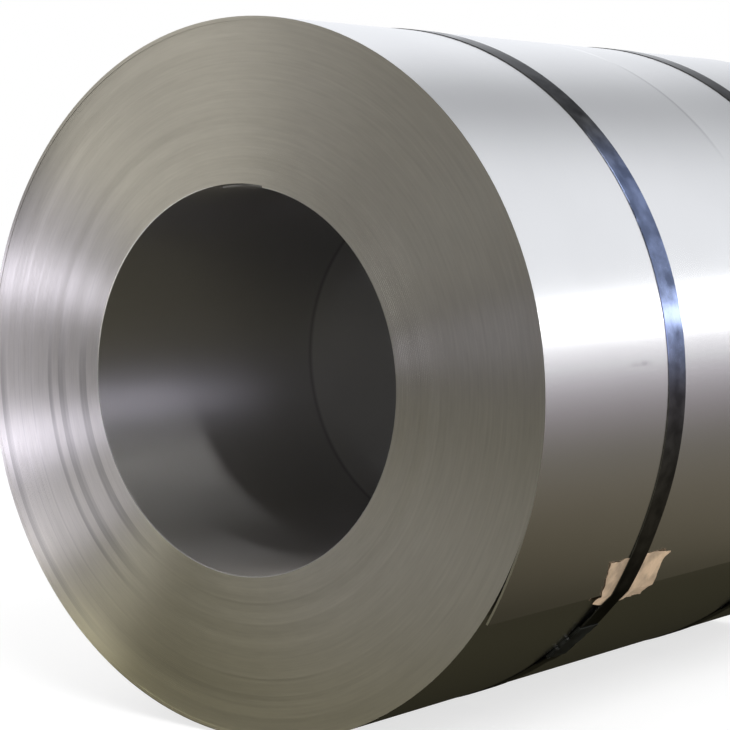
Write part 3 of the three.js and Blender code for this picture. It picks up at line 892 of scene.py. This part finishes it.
# Creases and fine creases: the seed and cells of their ripples, and how much closer they are across
CREASES = (8, 2.3)
FINE_CREASES = (9, 7)
CREASES_CLOSER = 1.6
# Waves in a ripple, and what their sum is divided by
RIPPLE_WAVES = 9
RIPPLE_SUM = 4


def ripple(u, v, seed, cells):
    """Smooth repeatable noise of about -1..1 from a sum of waves."""
    rng = np.random.default_rng(seed)
    total = np.zeros(np.broadcast(u, v).shape)
    for _ in range(RIPPLE_WAVES):
        a, b, phase = rng.uniform(-1, 1), rng.uniform(-1, 1), rng.uniform(0, math.tau)
        total += np.sin(math.tau * cells * (a * u + b * v) + phase)
    return total / RIPPLE_SUM


def torn(along, middle, ragged, seed, cells):
    """How far an edge is torn back, in tears."""
    return middle + ragged * ripple(along, 0, seed, cells)


def build_tape():
    """Torn patch across the tail's edge, flat under the strap and crumpled beside it."""
    rows, columns = np.linspace(0, 1, TAPE_ROWS), np.linspace(-1, 1, TAPE_COLUMNS)
    down, across = np.meshgrid(rows, columns, indexing="ij")
    right = across > 0
    tear_angle = arc_angle(TAPE_TEAR)
    width = TAPE_WIDTH - np.where(right, TAPE_WAIST, LEFT_WAIST * TAPE_WAIST) * np.sin(down * math.pi)
    tear = TAPE_TEAR * np.where(right, torn(down, *RIGHT_TEAR), torn(down, *LEFT_TEAR))
    foot_round = TAPE_TEAR * RIGHT_FOOT_ROUND * ease(down, RIGHT_FOOT_FROM, 1) ** FOOT_ROUND_POWER
    tear -= np.where(right, TAPE_TEAR * RIGHT_TOP_OUT * ease(down, TOP_OUT_TO, 0) - foot_round, 0)
    half = width / 2 - tear - TAPE_TRIM
    side = across * half + TAPE_OFFSET + TAPE_SKEW * (down - 0.5)
    top = TAPE_FROM + tear_angle * torn(across, *TOP_TEAR)
    bottom = TAPE_TO - arc_angle(TAPE_SHORT) - tear_angle * torn(across, *FOOT_TEAR)
    bottom -= tear_angle * LEFT_FOOT_RISE * ease(across, LEFT_FOOT_FROM, -1) ** 2
    clock = top + (bottom - top) * down
    taut = taut_radius(clock.ravel()).reshape(clock.shape)
    free = ease(np.abs(side) - STRAP_WIDTH / 2, *TAPE_LOOSE)
    coil = coil_radius(clock) + tail_lift((clock - TAIL_CLOCK) % 360)
    sag = np.minimum(TAPE_SAG * ease(down, SAG_FROM, 1), np.maximum(0, taut - coil - TAPE_ABOVE_COIL))
    closer = across * CREASES_CLOSER
    creases = ripple(closer, down, *CREASES) + TAPE_FINE_CRUMPLE * ripple(closer, down, *FINE_CREASES)
    crumple = np.maximum(TAPE_CRUMPLE * (1 + creases), TAPE_LEAST_CRUMPLE)
    corner = np.maximum(0, side - (TAPE_OFFSET + TAPE_WIDTH / 2 - TAPE_CURL_WIDTH)) / TAPE_CURL_WIDTH
    curl = TAPE_LOOK_CURL * corner**CURL_POWER * ease(down, CURL_TO, 0) ** CURL_FADE_POWER
    base = taut + GAP_TO_TAPE + free * (crumple - sag) + curl
    vertices = []
    for level in (0, TAPE_LOOK_THICKNESS - GAP_TO_TAPE / 2):
        vertices.append(place(NEAR_STRAP_X + side, base + level, clock).reshape(-1, 3))
    count = TAPE_ROWS * TAPE_COLUMNS
    i, j = np.meshgrid(np.arange(TAPE_ROWS - 1), np.arange(TAPE_COLUMNS - 1), indexing="ij")
    a = (i * TAPE_COLUMNS + j).ravel()
    quad = np.stack([a, a + 1, a + TAPE_COLUMNS + 1, a + TAPE_COLUMNS], -1)
    rim = list(range(TAPE_COLUMNS))
    rim += [r * TAPE_COLUMNS + TAPE_COLUMNS - 1 for r in range(1, TAPE_ROWS)]
    rim += [count - 1 - k for k in range(1, TAPE_COLUMNS)]
    rim += [r * TAPE_COLUMNS for r in range(TAPE_ROWS - 2, 0, -1)]
    rim = np.array(rim)
    after = np.roll(rim, -1)
    edge = np.stack([rim, after, after + count, rim + count], -1)
    faces = np.concatenate([quad, quad[:, ::-1] + count, edge[:, ::-1]])
    dress("tail_tape", np.concatenate(vertices), faces, [tape_paper], "paper_tape", sharp=TAPE_SHARP)


build_tape()

# ---- Floor, backdrop and lights ----

FLOOR_HALF = 45
FLOOR_COLOUR = 0.9
FLOOR_WHITE = 0.55
FLOOR_GLOW = 1.3
WORLD_LIGHT = 0.72
SURROUND_RADIUS = 14


def floor_material():
    """Matt pale floor; the camera sees it paler, and its shadows lighter, than it lights the object."""
    n = Nodes(bpy.data.materials.new("floor"))
    matt = n.add("BsdfDiffuse", {"Color": (FLOOR_COLOUR,) * 3 + (1,)}).outputs[0]
    white = n.add("Emission", {"Color": (1, 1, 1, 1), "Strength": FLOOR_GLOW}).outputs[0]
    seen = n.times(n.add("LightPath").outputs["Is Camera Ray"], FLOOR_WHITE)
    return n.surface(n.add("MixShader", {0: seen, 1: matt, 2: white}))


corners = [(FLOOR_HALF * x, FLOOR_HALF * y, 0) for x, y in ((-1, -1), (1, -1), (1, 1), (-1, 1))]
floor = make_object("floor", corners, [(0, 1, 2, 3)], [floor_material()])
floor.visible_glossy = False

# The surroundings that steel mirrors: level by bearing from +X towards +Y, above the horizon
LEVEL_BEARINGS = [
    -180, -150, -110, -60, -34, -24, -14, -9, -3, 4, 11, 20,
    29, 80, 96, 116, 130, 137, 139.5, 143, 150, 165, 180,
]
LEVELS = [
    0.12, 0.3, 0.6, 1.0, 1.25, 1.2, 1.15, 0.92, 0.74, 0.56, 0.62, 0.98,
    1.2, 1.2, 1.5, 1.45, 1.15, 0.88, 0.48, 0.36, 0.18, 0.1, 0.12,
]
# The ceiling's level, and the slopes between which it takes over
CEILING = 0.5
CEILING_SLOPES = (35, 75)
# The ground: on the +X side by slope below the horizon, on the -X side nearly even. Bearings, to either
# side, between which the one turns into the other and the near ground darkens behind the coil
GROUND_SLOPES = [-90, -40, -31, -27, -23, -20, -16, -12, -8, -4, 0, 4]
GROUND_LEVELS = [0.02, 0.05, 0.12, 0.15, 0.175, 0.19, 0.2, 0.255, 0.35, 0.52, 0.8, 1.2]
GROUND_FULL_LEVEL = 1.1
GROUND_FOLLOWS_TO = 120
NEAR_BEARINGS = (75, 120)
NEAR_GROUND = 0.42
NEAR_GROUND_RIGHT = 0.045
RIGHT_BEARINGS = (124, 140)
# The ground that the bore mirrors, and the bearings between which it comes and goes
BORE_GROUND = 0.62
BORE_GROUND_COMES = (-165, -135)
BORE_GROUND_GOES = (-100, -70)
# Slopes between which the ground ends, and how much softer that is on the near side
HORIZON = (-2, 5)
HORIZON_SOFTER = 2
TINT_SLOPES = [-31, -23, -16, -10, -5, 0, 10]
TINTS = [
    (1, 0.88, 0.6),
    (1, 0.89, 0.68),
    (1, 0.93, 0.8),
    (1, 0.92, 0.94),
    (1, 0.93, 1.0),
    (1, 0.985, 1.04),
    (0.965, 0.99, 1.04),
]
NEAR_TINT = (1.0, 0.965, 0.87)
NEAR_GROUND_TINT = (1.0, 0.945, 0.68)
NEAR_GROUND_SLOPES = (0, -10)
VIOLET = (0.95, 0.93, 1.12)
WHITE = (1, 1, 1)
# Bright strips: bearing, half width, slope, half height, softness, level, colour
STRIPS = [
    (-26, 7, 8.5, 0.8, 1.9, 9.0, WHITE),
    (160, 6, -17, 5, 6, 0.24, NEAR_TINT),
    (116, 2.2, -22.5, 1.6, 2.4, 4.2, NEAR_TINT),
    (111, 2.2, -15.5, 1.6, 2.4, 2.4, NEAR_TINT),
    (108, 10, -5, 1.2, 2.6, 0.45, NEAR_TINT),
    (-117, 8, 11, 4, 3.5, 6.6, VIOLET),
    (-131, 3, 11, 4, 4, 1.7, VIOLET),
]
SURROUND_BEARING_STEP = 2.0
SURROUND_SLOPE_STEP = 1.5
# Upright light card to the left of the near end: its two ends, height, rows, level and fade at its edges
SIDE_CARD_ENDS = [(-1.08, 0.8), (-1.08, 1.25)]
SIDE_CARD_TOP = 1.45
SIDE_CARD_ROWS = 58
SIDE_CARD_LEVEL = 1.0
SIDE_CARD_FADE = 0.1
# Its soft brighter bands: height, half height and added level. Between two heights it stops being violet
SIDE_CARD_BANDS = [(0.166, 0.018, 3.6), (0.364, 0.04, 4.3), (0.698, 0.052, 3.2), (1.02, 0.16, 0.45)]
SIDE_CARD_VIOLET_GOES = (0.8, 1.0)
# The card in the far eye: level, radius, depth inside the far end, and degrees between corners
EYE_CARD = 0.115
EYE_CARD_R = 302 * MM
EYE_CARD_DEPTH = 9 * MM
EYE_CARD_STEP = 7.5
# Far strip lights that the bore mirrors and its near rim cuts off: bearing, slope and level along each
RIM_CARDS = [
    [
        (-110, 17, 0), (-112, 25, 7), (-120, 43, 21), (-136, 57, 8),
        (-155, 62, 6.5), (-173, 63, 4), (167, 59, 1), (152, 49, 0),
    ],
    [(-173, 77, 0), (151, 72, 5), (136, 63, 6), (128, 53, 5), (122, 43, 3), (115, 32, 0)],
]
RIM_CARD_RADIUS = 13
RIM_CARD_WIDTH = 3
RIM_CARD_ROWS = 12
# The mirrored shadow: how far along X it is full and how far it reaches, how far along Y it is full and
# then fades, its lift and level, and the share of that level along the middle
SHADE_FULL = 0.4
SHADE_REACH = 0.58
SHADE_END = 0.68
SHADE_FADE = 0.12
SHADE_LIFT = 0.02 * MM
SHADE_LEVEL = 0.044
SHADE_MIDDLE = 0.15
SHADE_TINT = (1, 0.92, 0.55)


def surround_light(bearing, slope):
    """Linear colour of the surroundings in a direction."""
    level = np.interp(bearing, LEVEL_BEARINGS, LEVELS)
    level = level + (CEILING - level) * ease(slope, *CEILING_SLOPES)
    aside = np.abs(bearing)
    near = ease(aside, *NEAR_BEARINGS)
    ground = np.interp(slope, GROUND_SLOPES, GROUND_LEVELS)
    near_ground = NEAR_GROUND + (NEAR_GROUND_RIGHT - NEAR_GROUND) * ease(aside, *RIGHT_BEARINGS)
    bore_side = ease(bearing, *BORE_GROUND_COMES) - ease(bearing, *BORE_GROUND_GOES)
    near_ground = near_ground + (BORE_GROUND - near_ground) * bore_side
    ground = ground * (1 - near) + near_ground * near
    following = np.minimum(ground, ground * level / GROUND_FULL_LEVEL)
    ground = np.where(aside < GROUND_FOLLOWS_TO, following, ground)
    softer = HORIZON_SOFTER * near
    above = ease(slope, HORIZON[0] - softer, HORIZON[1] + softer)
    tint = np.stack([np.interp(slope, TINT_SLOPES, [t[k] for t in TINTS]) for k in range(3)], -1)
    lower = ease(slope, *NEAR_GROUND_SLOPES)[..., None]
    near_tint = np.array(NEAR_TINT) * (1 - lower) + np.array(NEAR_GROUND_TINT) * lower
    tint = tint + (near_tint - tint) * near[..., None]
    light = (ground + (level - ground) * above)[..., None] * tint
    for at, half, height, half_height, soft, strength, colour in STRIPS:
        across = 1 - ease(np.abs((bearing - at + 180) % 360 - 180), half, half + 2 * soft)
        along = 1 - ease(np.abs(slope - height), half_height, half_height + soft)
        light = light + (strength * across * along)[..., None] * np.array(colour)
    return light


def direction(bearing, slope):
    """Unit vectors of directions given in degrees."""
    b, s = np.radians(bearing), np.radians(slope)
    return np.stack([np.cos(s) * np.cos(b), np.cos(s) * np.sin(b), np.sin(s)], -1)


def ribbon_faces(rows):
    """Faces between rows of two points each."""
    return [(2 * i, 2 * i + 1, 2 * i + 3, 2 * i + 2) for i in range(rows - 1)]


def glow_by_point(stage, colours):
    """Light given off evenly between a mesh's points, each with its own colour."""
    layer = stage.data.color_attributes.new("glow", "FLOAT_COLOR", "POINT")
    layer.data.foreach_set("color", np.concatenate([colours, np.ones((len(colours), 1))], 1).reshape(-1))
    n = Nodes(bpy.data.materials.new(stage.name))
    attribute = n.add("Attribute", attribute_name="glow").outputs["Color"]
    stage.data.materials.append(n.surface(n.add("Emission", {"Color": attribute})))


def build_surround():
    bearings = np.arange(-180, 180, SURROUND_BEARING_STEP)
    slopes = np.arange(-90, 91, SURROUND_SLOPE_STEP)
    bearing, slope = np.meshgrid(bearings, slopes, indexing="ij")
    columns, rows = bearing.shape
    at = SURROUND_RADIUS * direction(bearing, slope).reshape(-1, 3) + np.array([0, 0, AXIS_Z])
    i, j = np.meshgrid(np.arange(columns), np.arange(rows - 1), indexing="ij")
    k = (i + 1) % columns
    faces = np.stack([i * rows + j, k * rows + j, k * rows + j + 1, i * rows + j + 1], -1).reshape(-1, 4)
    surround = make_object("surround", at, faces, [])
    glow_by_point(surround, surround_light(bearing, slope).reshape(-1, 3))
    only_mirrored(surround)


def only_mirrored(stage):
    """A stage object that shows in mirrored light alone."""
    for ray in ("camera", "diffuse", "transmission", "volume_scatter", "shadow"):
        setattr(stage, "visible_" + ray, False)


def glow(name, colour, level):
    n = Nodes(bpy.data.materials.new(name))
    return n.surface(n.add("Emission", {"Color": (*colour, 1), "Strength": level}))


def side_card_light(height):
    """Linear colour of the side card at heights above the floor."""
    level = np.full(np.shape(height), SIDE_CARD_LEVEL)
    for middle, half, band in SIDE_CARD_BANDS:
        level = level + band * np.exp(-(((height - middle) / half) ** 2))
    fade_out = ease(height, SIDE_CARD_TOP - SIDE_CARD_FADE, SIDE_CARD_TOP)
    level = level * ease(height, 0, SIDE_CARD_FADE) * (1 - fade_out)
    tint = ease(height, *SIDE_CARD_VIOLET_GOES)[..., None]
    return level[..., None] * (np.array(VIOLET) * (1 - tint) + np.array(NEAR_TINT) * tint)


def build_side_card():
    height = np.linspace(0, SIDE_CARD_TOP, SIDE_CARD_ROWS)
    at = [(*end, z) for z in height for end in SIDE_CARD_ENDS]
    card = make_object("side_card", at, ribbon_faces(SIDE_CARD_ROWS), [])
    glow_by_point(card, np.repeat(side_card_light(height), 2, axis=0))
    only_mirrored(card)


def build_eye_card():
    """A dark card in the far eye, which the bore mirrors."""
    a = np.radians(np.arange(0, 360, EYE_CARD_STEP))
    x = np.full(len(a), AXIS_X + STRIP_WIDTH / 2 - EYE_CARD_DEPTH)
    at = np.stack([x, AXIS_Y + EYE_CARD_R * np.cos(a), AXIS_Z + EYE_CARD_R * np.sin(a)], -1)
    only_mirrored(make_object("eye_card", at, [range(len(a))], [glow("eye_card", WHITE, EYE_CARD)]))


def build_rim_card(name, path):
    """A narrow strip light along a path of directions from the near eye."""
    eye = np.array([-STRIP_WIDTH / 2, AXIS_Y, AXIS_Z])
    bearing, slope, level = np.array(path).T
    corners = direction(bearing, slope)
    at = np.linspace(0, len(path) - 1, (len(path) - 1) * RIM_CARD_ROWS + 1)
    middle = np.stack([np.interp(at, range(len(path)), corners[:, k]) for k in range(3)], -1)
    middle = middle / np.linalg.norm(middle, axis=1)[:, None]
    out = np.cross(middle, np.gradient(middle, axis=0))
    out = out / np.linalg.norm(out, axis=1)[:, None] * math.radians(RIM_CARD_WIDTH / 2)
    points = eye + RIM_CARD_RADIUS * np.stack([middle - out, middle + out], 1).reshape(-1, 3)
    card = make_object(name, points, ribbon_faces(len(at)), [])
    levels = np.repeat(np.interp(at, range(len(path)), level), 2)
    glow_by_point(card, levels[:, None] * np.ones(3))
    only_mirrored(card)


def build_shade():
    """What the underside mirrors of the floor: the coil's own shadow, with a soft edge."""
    across = [-SHADE_REACH, -SHADE_FULL, 0, SHADE_FULL, SHADE_REACH]
    deep = [1, 1, SHADE_MIDDLE, 1, 1]
    along = [-SHADE_END - SHADE_FADE, -SHADE_END, SHADE_END, SHADE_END + SHADE_FADE]
    columns, rows = len(across), len(along)
    at = [(AXIS_X + x, AXIS_Y + y, SHADE_LIFT) for x in along for y in across]
    starts = [i * columns + j for i in range(rows - 1) for j in range(columns - 1)]
    faces = [(a, a + columns, a + columns + 1, a + 1) for a in starts]
    shade = make_object("shade", at, faces, [])
    inside = [[0 < i < rows - 1 and 0 < j < columns - 1 for j in range(columns)] for i in range(rows)]
    cover = [(float(inside[i][j]), deep[j], 0, 1) for i in range(rows) for j in range(columns)]
    layer = shade.data.color_attributes.new("cover", "FLOAT_COLOR", "POINT")
    layer.data.foreach_set("color", np.array(cover).reshape(-1))
    n = Nodes(bpy.data.materials.new("shade"))
    parts = n.add("SeparateColor", {0: n.add("Attribute", attribute_name="cover").outputs["Color"]}).outputs
    level = n.times(parts[1], SHADE_LEVEL)
    dark = n.add("Emission", {"Color": (*SHADE_TINT, 1), "Strength": level}).outputs[0]
    clear = n.add("BsdfTransparent").outputs[0]
    shade.data.materials.append(n.surface(n.add("MixShader", {0: parts[0], 1: clear, 2: dark})))
    only_mirrored(shade)


build_surround()
build_shade()
build_side_card()
build_eye_card()
for i, path in enumerate(RIM_CARDS):
    build_rim_card(f"rim_card_{i + 1}", path)

# Square lamp that points at the coil's middle and shows in no reflection
KEY_AT = (-3.5, -4.5, 5.5)
KEY_SIZE = 3.5
KEY_POWER = 260

key = bpy.data.objects.new("key", bpy.data.lights.new("key", "AREA"))
key.data.size = KEY_SIZE
key.data.energy = KEY_POWER
key.location = KEY_AT
key.rotation_euler = (Vector((0, 0, AXIS_Z)) - Vector(KEY_AT)).to_track_quat("-Z", "Y").to_euler()
key.visible_glossy = False
key.visible_camera = False
bpy.context.scene.collection.objects.link(key)

# Camera rays and glossy rays meet the world at its full level; it lights matt surfaces with less
world = bpy.data.worlds.new("world")
bpy.context.scene.world = world
n = Nodes(world, "OutputWorld")
rays = n.add("LightPath").outputs
seen = n.math("MAXIMUM", rays["Is Camera Ray"], rays["Is Glossy Ray"])
strength = n.math("MAXIMUM", seen, WORLD_LIGHT)
n.surface(n.add("Background", {"Color": (1, 1, 1, 1), "Strength": strength}))

bpy.context.scene.view_settings.view_transform = "Standard"
